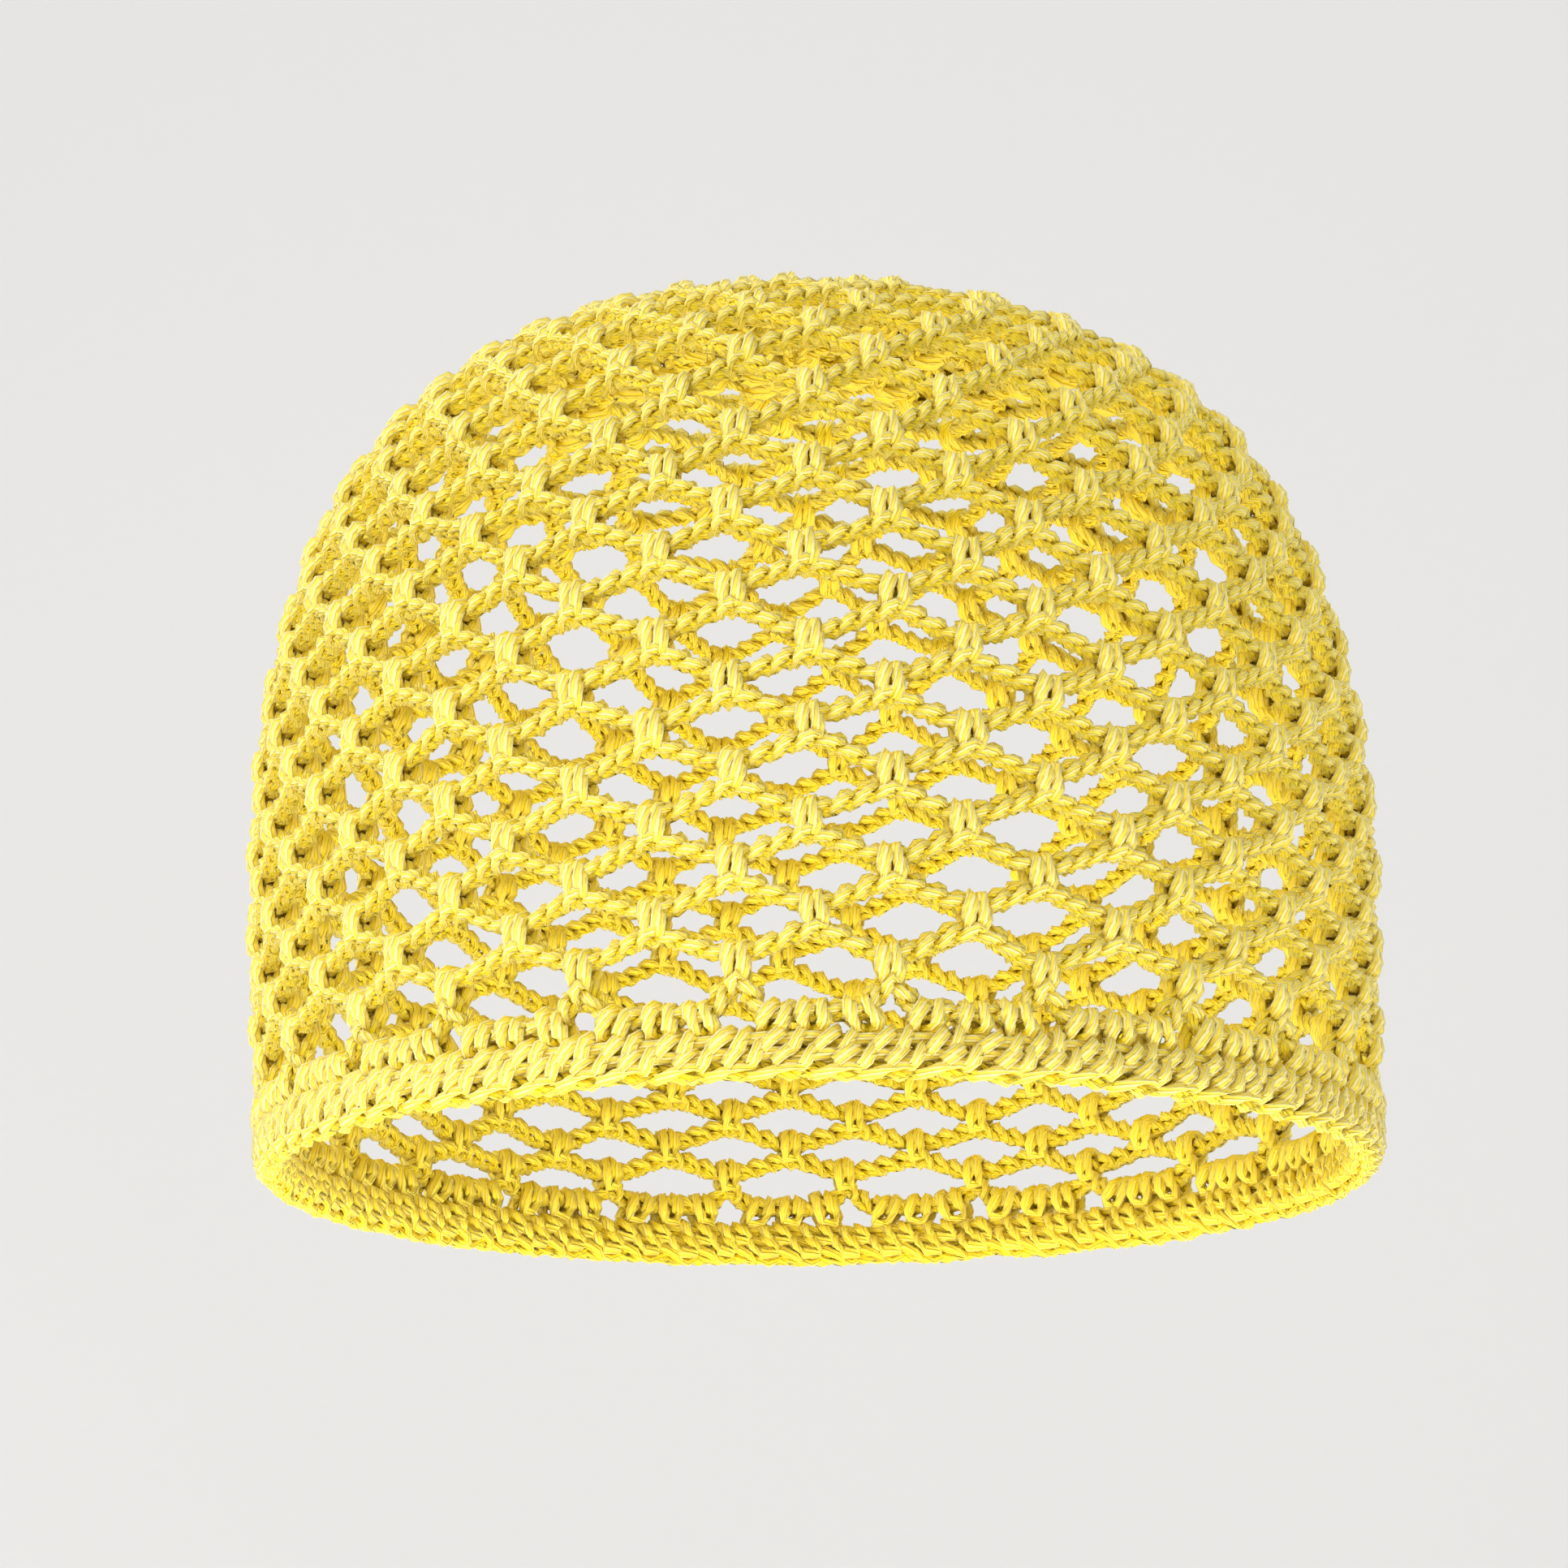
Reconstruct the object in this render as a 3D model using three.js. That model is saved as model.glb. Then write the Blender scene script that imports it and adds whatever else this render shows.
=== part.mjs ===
// Crochet mesh skull cap: a starting ring at the top of the crown, an open net of chain loops
// worked round and down from it, a dense band of single crochet, and the last round as its rim.
// Millimetres, +Z up, brow towards -Y. The origin is the centre of the head opening, in the
// plane of the rim, where the head goes in.

import * as THREE from 'three';

// Driving dimensions
const HALF_WIDTH = 84.3; // outside, ear to ear
const HALF_DEPTH = 96.9; // outside, brow to nape
const CAP_HEIGHT = 131; // rim to the top of the crown
const UPRIGHT_HEIGHT = 33; // from the rim to where the dome begins
const LEAN_OUT = 4.4; // how much the wall leans out over the whole height
const DOME_POWER_UP = 2.34; // squareness of the dome's outline, upwards
const DOME_POWER_OUT = 3.5; // and outwards
const NET_WALL = 3.2; // a loop's thickness through the wall, at its middle
const NET_EDGE_WALL = 1.8; // and at its edges
const LOOP_WIDTH = 5.6; // width of a loop's strand, seen from outside
const KNOT_LENGTH = 6.5; // between the middles of two loops where a stitch joins them
const BAND_WALL = 3.4; // thickness of the single crochet, over its ribs
const BAND_GROOVE = 0.9; // how deep the grooves between its rounds are
const BAND_TOP = 10; // height of the band's top edge over the rim
const LOOP_SEAT = 1.4; // from the band, or the starting ring, to the middle of the loops next to it
const BAND_ROUNDS = 3; // rounds of single crochet over the rim's own
const RIM_HEIGHT = 2.6; // the last round, which rolls out a little like a cord
const RIM_WALL = 3.8;
const RING_RADIUS = 11.4; // the starting ring, outside, measured over the crown
const RING_HOLE_RADIUS = 2.8; // and the hole that its yarn is drawn up to
const RING_WALL = 3.4;
const GAP = 0.3; // clearance between neighbouring pieces

// Rounds of the net from the band up: loops is how many loops go round
const NET_ROUNDS = [
  { loops: 12 },
  { loops: 12 },
  { loops: 12 },
  { loops: 12 },
  { loops: 12 },
  { loops: 12 },
  { loops: 12 },
  { loops: 9 },
  { loops: 9 },
  { loops: 6 },
  { loops: 6 },
];

// Levels of a round's low and high turns as shares of its swing, where no stitch pulls it
const SLACK_AT_BAND = -0.4;
const SLACK_AT_RING = 0.2;
const SLACK_IN_LOOP = 0.4; // of a loop that two stitches share, between them
const EVENING = 0.6; // how far each round evens out its stitches where loops are gained

// Section tables, from the inside bottom corner anticlockwise, as seen with the outside to the right.
// up is a share of the piece's height, out a share of its wall from the inside face.
const RIM_SECTION = [
  { up: 0.25, out: 0 },
  { up: 0, out: 0.28 },
  { up: 0, out: 0.72 },
  { up: 0.28, out: 1 },
  { up: 0.72, out: 1 },
  { up: 1, out: 0.78 },
  { up: 1, out: 0.22 },
  { up: 0.75, out: 0 },
];
const RING_SECTION = [
  { up: 0, out: 0.25 },
  { up: 0, out: 0.75 },
  { up: 0.3, out: 1 },
  { up: 0.7, out: 1 },
  { up: 1, out: 0.7 },
  { up: 1, out: 0.3 },
  { up: 0.7, out: 0 },
  { up: 0.3, out: 0 },
];

const COTTON = { color: 0xf0d23a, roughness: 0.88, metalness: 0 };

// The dome's outline, half of it, as points { along, height, share } from rim to top: along is
// the distance over the brow's outline and share the part of the full half-size left there
function traceOutline(steps) {
  const outline = [];
  const mean = (HALF_WIDTH + HALF_DEPTH) / 2;
  const domeHeight = CAP_HEIGHT - UPRIGHT_HEIGHT;
  let along = 0;
  for (let i = 0; i <= 2 * steps; i++) {
    const turn = Math.max(0, (i - steps) / steps) * (Math.PI / 2);
    const rise = Math.sin(turn) ** (2 / DOME_POWER_UP);
    const height = i < steps ? (UPRIGHT_HEIGHT * i) / steps : UPRIGHT_HEIGHT + domeHeight * rise;
    const full = i === 2 * steps ? 0 : Math.cos(turn) ** (2 / DOME_POWER_OUT);
    const share = full * (1 + (LEAN_OUT / mean) * (height / CAP_HEIGHT));
    const last = outline[outline.length - 1];
    if (last) {
      along += Math.hypot((share - last.share) * HALF_DEPTH, height - last.height);
    }
    outline.push({ along, height, share });
  }
  return outline;
}

// Angles round the plan ellipse at equal steps of its girth, from the brow
function traceGirth(steps) {
  const girth = [0];
  for (let i = 1; i <= steps; i++) {
    const angle = (2 * Math.PI * (i - 0.5)) / steps;
    const stretch = Math.hypot(HALF_WIDTH * Math.cos(angle), HALF_DEPTH * Math.sin(angle));
    girth.push(girth[i - 1] + (stretch * 2 * Math.PI) / steps);
  }
  return girth;
}

const OUTLINE_STEPS = 240;
const GIRTH_STEPS = 720;
const outline = traceOutline(OUTLINE_STEPS);
const girth = traceGirth(GIRTH_STEPS);
const fullGirth = girth[GIRTH_STEPS];
const topAlong = outline[outline.length - 1].along;

// Height and share of the outline at a distance along it from the rim
function outlineAt(along) {
  let i = 1;
  while (i < outline.length - 1 && outline[i].along < along) {
    i++;
  }
  const part = (along - outline[i - 1].along) / (outline[i].along - outline[i - 1].along);
  return {
    height: THREE.MathUtils.lerp(outline[i - 1].height, outline[i].height, part),
    share: THREE.MathUtils.lerp(outline[i - 1].share, outline[i].share, part),
  };
}

// Angle at a part of the way round, 0 at the brow, 0.25 at the left ear, 0.5 at the nape
function angleAt(round) {
  const whole = Math.floor(round);
  const reach = (round - whole) * fullGirth;
  let i = 1;
  while (i < GIRTH_STEPS && girth[i] < reach) {
    i++;
  }
  const part = (reach - girth[i - 1]) / (girth[i] - girth[i - 1]);
  return ((i - 1 + part) * 2 * Math.PI) / GIRTH_STEPS;
}

// A point on the cap's outside face, then moved out along the face's normal
function pointAt(round, along, out) {
  const place = (turn, distance) => {
    const { height, share } = outlineAt(distance);
    return new THREE.Vector3(
      HALF_WIDTH * share * Math.sin(turn),
      -HALF_DEPTH * share * Math.cos(turn),
      height,
    );
  };
  const step = 0.5;
  const turn = angleAt(round);
  const across = place(turn + 0.01, along).sub(place(turn - 0.01, along));
  const upwards = place(turn, Math.min(along + step, topAlong)).sub(
    place(turn, Math.max(along - step, 0)),
  );
  const normal = across.cross(upwards).normalize();
  return place(turn, along).addScaledVector(normal, out);
}

// A closed shell under construction: points by place on the cap, faces outwards
class Shell {
  constructor() {
    this.positions = [];
    this.indices = [];
  }

  point(round, along, out) {
    const place = pointAt(round, along, out);
    this.positions.push(place.x, place.y, place.z);
    return this.positions.length / 3 - 1;
  }

  quad(a, b, c, d) {
    this.indices.push(a, b, c, a, c, d);
  }

  // Quads between two closed rows of points, the second row on the left of the first
  strip(first, second) {
    for (let i = 0; i < first.length; i++) {
      const next = (i + 1) % first.length;
      this.quad(first[i], first[next], second[next], second[i]);
    }
  }

  mesh(name) {
    const geometry = new THREE.BufferGeometry();
    geometry.setAttribute('position', new THREE.Float32BufferAttribute(this.positions, 3));
    geometry.setIndex(this.indices);
    geometry.computeVertexNormals();
    const mesh = new THREE.Mesh(geometry, new THREE.MeshStandardMaterial(COTTON));
    mesh.name = name;
    return mesh;
  }
}

// Stitches of every round, as parts of the way round. Each round's stitches sit between those of
// the round below, and where a round has fewer loops some of those places are passed over.
function placeStitches() {
  const rounds = [];
  let stitches = Array.from({ length: NET_ROUNDS[0].loops }, (_, i) => i / NET_ROUNDS[0].loops);
  rounds.push(stitches);
  for (const { loops } of NET_ROUNDS.slice(1)) {
    const below = stitches;
    const middles = below.map((place, i) => {
      const next = i + 1 < below.length ? below[i + 1] : below[0] + 1;
      return (place + next) / 2;
    });
    const missed = middles.length - loops;
    const missedBefore = (i) => Math.floor((i * missed) / middles.length);
    const kept = middles.filter((_, i) => missedBefore(i + 1) === missedBefore(i));
    const shift = kept.reduce((sum, place, i) => sum + place - i / loops, 0) / loops;
    const evening = missed ? EVENING : 1;
    stitches = kept.map((place, i) => THREE.MathUtils.lerp(place, i / loops + shift, evening));
    rounds.push(stitches);
  }
  return rounds;
}

// The middle line of one round: its own stitches pull it up, the round below pulls it down, and
// there is one more point between every two turns
function traceRound(own, below, middle, swing) {
  const turns = [
    ...own.map((round) => ({ round: round % 1, level: 1, kind: 'own' })),
    ...below.map((round) => ({ round: round % 1, level: -1, kind: 'below' })),
  ].sort((first, second) => first.round - second.round);
  const line = [];
  turns.forEach((turn, i) => {
    const next = turns[(i + 1) % turns.length];
    const ahead = next.round + (i + 1 === turns.length ? 1 : 0);
    const lift = turn.level === next.level && turn.level < 0 ? SLACK_IN_LOOP : 0;
    line.push({ ...turn, along: middle + swing * turn.level });
    line.push({
      round: (turn.round + ahead) / 2,
      along: middle + swing * ((turn.level + next.level) / 2 + lift),
      kind: 'between',
    });
  });
  return line;
}

// Points of a round's line from one stitch to the next, both included, starting skip stitches
// past the one that is level with a given spot
function stretchOf(line, kind, spot, skip) {
  const marks = line.map((mark, i) => (mark.kind === kind ? i : -1)).filter((i) => i >= 0);
  const offset = (i) => {
    const turn = line[i].round - spot.round;
    return Math.abs(turn - Math.round(turn));
  };
  const nearest = marks.reduce((best, i) => (offset(i) < offset(best) ? i : best));
  const start = (marks.indexOf(nearest) + skip) % marks.length;
  const end = marks[(start + 1) % marks.length];
  const stretch = [line[marks[start]]];
  for (let i = (marks[start] + 1) % line.length; i !== end; i = (i + 1) % line.length) {
    stretch.push(line[i]);
  }
  stretch.push(line[end]);
  return stretch;
}

// The same outline drawn smaller by a distance, mitred at its corners
function insetOutline(spots, distance) {
  return spots.map((spot, i) => {
    const before = spots[(i + spots.length - 1) % spots.length];
    const after = spots[(i + 1) % spots.length];
    const length = fullGirth * outlineAt(spot.along).share;
    const step = (from, to) => {
      const turn = to.round - from.round;
      return new THREE.Vector2((turn - Math.round(turn)) * length, to.along - from.along).normalize();
    };
    const into = step(before, spot);
    const away = step(spot, after);
    const left = new THREE.Vector2(-into.y - away.y, into.x + away.x).normalize();
    const reach = distance / left.dot(new THREE.Vector2(-into.y, into.x));
    return {
      round: spot.round + (left.x * reach) / length,
      along: spot.along + left.y * reach,
    };
  });
}

// Middle lines of all rounds of the net, from the band to the starting ring, with the stitches
// between them. The two end lines have three points between their turns, not one.
function traceNet() {
  const bottom = BAND_TOP + GAP;
  const top = topAlong - RING_RADIUS - GAP;
  const rows = NET_ROUNDS.length;
  const slack = (SLACK_AT_RING - SLACK_AT_BAND) / 2;
  const spacing = (top - bottom - 2 * LOOP_SEAT + slack * KNOT_LENGTH) / (rows + slack);
  const swing = (spacing - KNOT_LENGTH) / 2;
  const start = bottom + LOOP_SEAT - SLACK_AT_BAND * swing;
  const stitches = placeStitches();
  const lines = [traceEnd(stitches[0], 'own', start + swing, start + SLACK_AT_BAND * swing)];
  for (let row = 1; row < rows; row++) {
    lines.push(traceRound(stitches[row], stitches[row - 1], start + row * spacing, swing));
  }
  const last = start + rows * spacing;
  lines.push(traceEnd(stitches[rows - 1], 'below', last - swing, last + SLACK_AT_RING * swing));
  return { lines, stitches, bottom, top };
}

// The middle line of a round at an end of the net, which stitches hold on one side only
function traceEnd(stitches, kind, held, slack) {
  return stitches.flatMap((round, i) => {
    const next = i + 1 < stitches.length ? stitches[i + 1] : stitches[0] + 1;
    const spot = (part, along, name) => ({
      round: THREE.MathUtils.lerp(round, next, part),
      along,
      kind: name,
    });
    const middle = (held + slack) / 2;
    return [
      spot(0, held, kind),
      spot(0.25, middle, 'between'),
      spot(0.5, slack, 'between'),
      spot(0.75, middle, 'between'),
    ];
  });
}

// The net: hexagon cells that share the loops' middle lines, each with its gap cut through
function makeNet({ lines, stitches, bottom, top }) {
  const shell = new Shell();
  const edgeDip = (NET_WALL - NET_EDGE_WALL) / 2;
  for (const line of lines) {
    for (const spot of line) {
      spot.outer = shell.point(spot.round, spot.along, 0);
      spot.inner = shell.point(spot.round, spot.along, -NET_WALL);
    }
  }
  stitches.forEach((row, level) => {
    row.forEach((_, i) => {
      const lower = stretchOf(lines[level], 'own', lines[level][0], i);
      const upper = stretchOf(lines[level + 1], 'below', lower[0], 0);
      const cell = [...lower, ...upper.reverse()];
      const hole = insetOutline(cell, LOOP_WIDTH / 2);
      const holeOuter = hole.map((spot) => shell.point(spot.round, spot.along, -edgeDip));
      const holeInner = hole.map((spot) => shell.point(spot.round, spot.along, edgeDip - NET_WALL));
      shell.strip(cell.map((spot) => spot.outer), holeOuter);
      shell.strip(holeInner, cell.map((spot) => spot.inner));
      shell.strip(holeOuter, holeInner);
    });
  });
  closeEdge(shell, lines[0], bottom, -1);
  closeEdge(shell, lines[lines.length - 1], top, 1);
  return shell.mesh('crown_net');
}

// Fills between a round's middle line and the straight edge below it (-1) or above it (1)
function closeEdge(shell, line, along, side) {
  const edgeOuter = line.map((spot) => shell.point(spot.round, along, 0));
  const edgeInner = line.map((spot) => shell.point(spot.round, along, -NET_WALL));
  const outer = line.map((spot) => spot.outer);
  const inner = line.map((spot) => spot.inner);
  if (side < 0) {
    shell.strip(edgeOuter, outer);
    shell.strip(inner, edgeInner);
    shell.strip(edgeInner, edgeOuter);
  } else {
    shell.strip(outer, edgeOuter);
    shell.strip(edgeInner, inner);
    shell.strip(edgeOuter, edgeInner);
  }
}

// A hoop round the cap, with a corner at each of the given parts of the way round. Its section
// is a table of shares of its height and wall.
function makeHoop(name, section, rounds, low, high, wall) {
  const shell = new Shell();
  const rows = section.map(({ up, out }) => {
    const along = THREE.MathUtils.lerp(low, high, up);
    return rounds.map((round) => shell.point(round, along, (out - 1) * wall));
  });
  rows.forEach((row, i) => {
    shell.strip(row, rows[(i + 1) % rows.length]);
  });
  return shell.mesh(name);
}

// The band's section: one rib for each round of stitches, the same inside and outside
function bandSection() {
  const groove = BAND_GROOVE / BAND_WALL;
  const outside = [];
  for (let round = 0; round < BAND_ROUNDS; round++) {
    outside.push({ up: round / BAND_ROUNDS, out: 1 - groove });
    outside.push({ up: (round + 0.5) / BAND_ROUNDS, out: 1 });
  }
  outside.push({ up: 1, out: 1 - groove });
  const inside = outside.map(({ up, out }) => ({ up, out: 1 - out })).reverse();
  return [...outside, ...inside];
}

const net = traceNet();
const lowestRounds = net.lines[0].map((spot) => spot.round);
const highestRounds = net.lines[net.lines.length - 1].map((spot) => spot.round);
const ringLow = topAlong - RING_RADIUS;
const ringHigh = topAlong - RING_HOLE_RADIUS;
const bandLow = RIM_HEIGHT + GAP;

const cap = new THREE.Group();
cap.add(makeHoop('crown_ring', RING_SECTION, highestRounds, ringLow, ringHigh, RING_WALL));
cap.add(makeNet(net));
cap.add(makeHoop('band', bandSection(), lowestRounds, bandLow, BAND_TOP, BAND_WALL));
cap.add(makeHoop('rim_edge', RIM_SECTION, lowestRounds, 0, RIM_HEIGHT, RIM_WALL));

export default cap;
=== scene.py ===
"""A crochet mesh skull cap in lemon cotton, held up as a head holds it: the looks, round by round.

The cap is worked from the top of the crown down. Lengths are in millimetres until a mesh is made.
A place on the cap is given by round (0 to 1 about the cap, from the brow), along (up the outside
from the rim, in millimetres) and out (from the middle of the yarn, away from the head).
"""

import math

import bpy
import numpy as np
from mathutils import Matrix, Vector


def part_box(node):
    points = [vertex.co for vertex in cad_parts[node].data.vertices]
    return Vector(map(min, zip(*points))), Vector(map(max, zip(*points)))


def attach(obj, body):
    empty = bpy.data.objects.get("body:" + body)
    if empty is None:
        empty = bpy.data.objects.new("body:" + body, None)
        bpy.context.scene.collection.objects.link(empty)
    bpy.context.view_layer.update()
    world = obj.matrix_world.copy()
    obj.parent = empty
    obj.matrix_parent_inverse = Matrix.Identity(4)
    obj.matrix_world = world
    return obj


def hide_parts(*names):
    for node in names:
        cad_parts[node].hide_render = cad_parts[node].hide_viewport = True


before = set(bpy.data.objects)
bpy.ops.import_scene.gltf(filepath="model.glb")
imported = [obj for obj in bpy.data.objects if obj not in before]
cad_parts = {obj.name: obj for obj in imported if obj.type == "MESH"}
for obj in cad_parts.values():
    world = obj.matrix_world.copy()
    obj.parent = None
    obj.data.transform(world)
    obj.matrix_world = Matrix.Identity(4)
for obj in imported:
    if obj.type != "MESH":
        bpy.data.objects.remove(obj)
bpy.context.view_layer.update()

# The shape of the cap
# The form that the head gives to the net: an upright wall and a squarish dome on an oval plan.
# The outside sizes come from the solids; the yarn's middle lies half a wall inside them.
MM = 0.001
rim_high = np.array(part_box("rim_edge")[1]) / MM
net_high = np.array(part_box("crown_net")[1]) / MM
WALL = 3.2
HALF_WIDTH = rim_high[0] - WALL / 2
HALF_DEPTH = rim_high[1] - WALL / 2
CAP_HEIGHT = net_high[2] - WALL / 2
UPRIGHT_HEIGHT = 33.0
LEAN_OUT = 4.4
DOME_POWER_UP = 2.34
DOME_POWER_OUT = 3.5
OUTLINE_STEPS = 1500
WALL_STEPS = 375
GIRTH_STEPS = 1440
SLOPE_STEP = 0.4
LOWEST_ALONG = -5.0
SHORT_OF_TOP = 0.01
# The worn cap sits a little askew: each millimetre of height moves the crown this far to the left.
# Its rounds lie closer together low at the back, and droop a little to the right halfway up.
# The powers say how narrow each drop is round the cap. The one beside the middle of the back is
# divided by about the most that its product of a power and a squared sine comes to.
ASKEW = 0.0087
BACK_DROP = {"along": [8.9, 54.0, 190.0], "down": [0.0, 8.0, 0.0]}
BACK_SIDE_DROP = {"along": [8.9, 22.0, 50.0, 100.0], "down": [0.0, 3.2, 2.4, 0.0]}
BACK_POWER = 3
BACK_SIDE_POWER = 5
BACK_SIDE_MOST = 0.22
DROOP = {"along": [28.0, 68.0, 108.0], "down": [0.0, 1.0, 0.0]}
DROOP_ALL_ROUND = 0.8
DROOP_RIGHT = 2.4
TURNED_BACK = 0.0026
TURNED_FRONT = 0.0042
TURNED_HIGH = {"along": [70.0, 125.0], "turned": [0.0, 0.005]}


def trace_outline():
    """Height and share of the half-size from rim to top. Above the upright wall the height rises
    as the sine, to the power 2 / DOME_POWER_UP, of a turn from 0 to a right angle, and the share
    falls as its cosine, to the power 2 / DOME_POWER_OUT. The share also grows with height."""
    turn = np.linspace(0, math.pi / 2, OUTLINE_STEPS)
    wall = np.linspace(0, UPRIGHT_HEIGHT, WALL_STEPS, endpoint=False)
    rise = np.sin(turn) ** (2 / DOME_POWER_UP)
    height = np.concatenate([wall, UPRIGHT_HEIGHT + (CAP_HEIGHT - UPRIGHT_HEIGHT) * rise])
    full = np.clip(np.cos(turn), 0, 1) ** (2 / DOME_POWER_OUT)
    share = np.concatenate([np.ones(len(wall)), full])
    share *= 1 + LEAN_OUT / (HALF_WIDTH + HALF_DEPTH) * 2 * height / CAP_HEIGHT
    steps = np.hypot(np.diff(share) * HALF_DEPTH, np.diff(height))
    return np.concatenate([[0], np.cumsum(steps)]), height, share


def trace_girth():
    """Angle about the plan oval for equal steps of girth: the running sum of the oval's speed."""
    angle = np.linspace(0, 2 * math.pi, GIRTH_STEPS + 1)
    middle = (angle[1:] + angle[:-1]) / 2
    speed = np.hypot(HALF_WIDTH * np.cos(middle), HALF_DEPTH * np.sin(middle))
    run = np.concatenate([[0], np.cumsum(speed * np.diff(angle))])
    return angle, run / run[-1], run[-1]


outline_along, outline_height, outline_share = trace_outline()
girth_angle, girth_round, GIRTH = trace_girth()
TOP_ALONG = outline_along[-1]


def unit(vectors):
    """Each vector divided by its length."""
    return vectors / np.linalg.norm(vectors, axis=-1, keepdims=True)


def settle(rounds, along):
    """Where an evenly worked place comes to lie on the worn cap: lower at the back by powers of
    half a cosine round the cap, with and without a squared sine that is most beside the middle of
    the back, lower to the right by a sine, and turned a little about it."""
    angle = 2 * math.pi * rounds
    back = (1 - np.cos(angle)) / 2
    beside = back**BACK_SIDE_POWER * np.sin(angle) ** 2 / BACK_SIDE_MOST
    down = back**BACK_POWER * np.interp(along, BACK_DROP["along"], BACK_DROP["down"])
    down = down + beside * np.interp(along, BACK_SIDE_DROP["along"], BACK_SIDE_DROP["down"])
    droop = DROOP_ALL_ROUND + DROOP_RIGHT * np.sin(angle)
    down = down + droop * np.interp(along, DROOP["along"], DROOP["down"])
    turned = TURNED_BACK - TURNED_FRONT * np.cos(angle)
    turned = turned + np.interp(along, TURNED_HIGH["along"], TURNED_HIGH["turned"])
    return rounds + turned, along - down


def on_cap(rounds, along):
    """Points on the yarn's middle surface, with the directions right, up and out there. Up is the
    slope of the outline, found between two places a little above and below."""
    rounds, along = settle(rounds, along)
    angle = np.interp(rounds % 1.0, girth_round, girth_angle)
    place = []
    for offset in (0.0, SLOPE_STEP, -SLOPE_STEP):
        at = np.clip(along + offset, LOWEST_ALONG, TOP_ALONG - SHORT_OF_TOP)
        share = np.interp(at, outline_along, outline_share)
        height = np.interp(at, outline_along, outline_height) + np.minimum(at, 0)
        across = HALF_WIDTH * share * np.sin(angle) - ASKEW * height
        place.append(np.stack([across, -HALF_DEPTH * share * np.cos(angle), height], axis=-1))
    level = np.zeros_like(angle)
    right = unit(np.stack([HALF_WIDTH * np.cos(angle), HALF_DEPTH * np.sin(angle), level], -1))
    up = unit(place[1] - place[2])
    out = unit(np.cross(right, up))
    return place[0], right, np.cross(out, right), out


# The yarn
# Soft mercerised cotton of three plies, 1.7 mm thick over them. Each ply is a lobe of the yarn's
# section that winds round it, so that the plies are real ridges in the mesh.
YARN_RADIUS = 0.84
PLIES = 3
SIDES = 2 * PLIES
PLY_DEPTH = 0.34
# The side of the yarn towards the head keeps this share of its openness, so it gets painted shade
INNER_OPENNESS = 0.25
# Where winding starts from is free, as long as it isn't along a path
ANY_DIRECTION = (0.3, 0.5, 0.81)
NEXT_TO_NOTHING = 1e-6


def carry_across(points, closed_turns=1.0, copies=1):
    """Two directions across a path at every point, carried along it without turning about it and
    then wound evenly, so that after the path's end they are as at its start, whole turns later.
    The path is closed, or with copies it is the middle one of three like paths in a row."""
    count = len(points) // copies
    if copies == 3:
        tangent = unit(points[2:] - points[:-2])[count - 1 : 2 * count]
    else:
        tangent = unit(np.roll(points, -1, axis=0) - np.roll(points, 1, axis=0))
        tangent = np.vstack([tangent, tangent[:1]])
    side = np.cross(tangent[0], ANY_DIRECTION)
    sides = []
    for direction in tangent:
        side = side - direction * (side @ direction)
        side = side / np.linalg.norm(side)
        sides.append(side)
    across = np.cross(tangent[0], sides[0])
    slip = math.atan2(sides[-1] @ across, sides[-1] @ sides[0])
    wind = np.arange(count) / count * (2 * math.pi * closed_turns - slip)
    first = np.array(sides[:-1])
    second = np.cross(tangent[:-1], first)
    cosine, sine = np.cos(wind)[:, None], np.sin(wind)[:, None]
    return first * cosine + second * sine, second * cosine - first * sine


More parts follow.
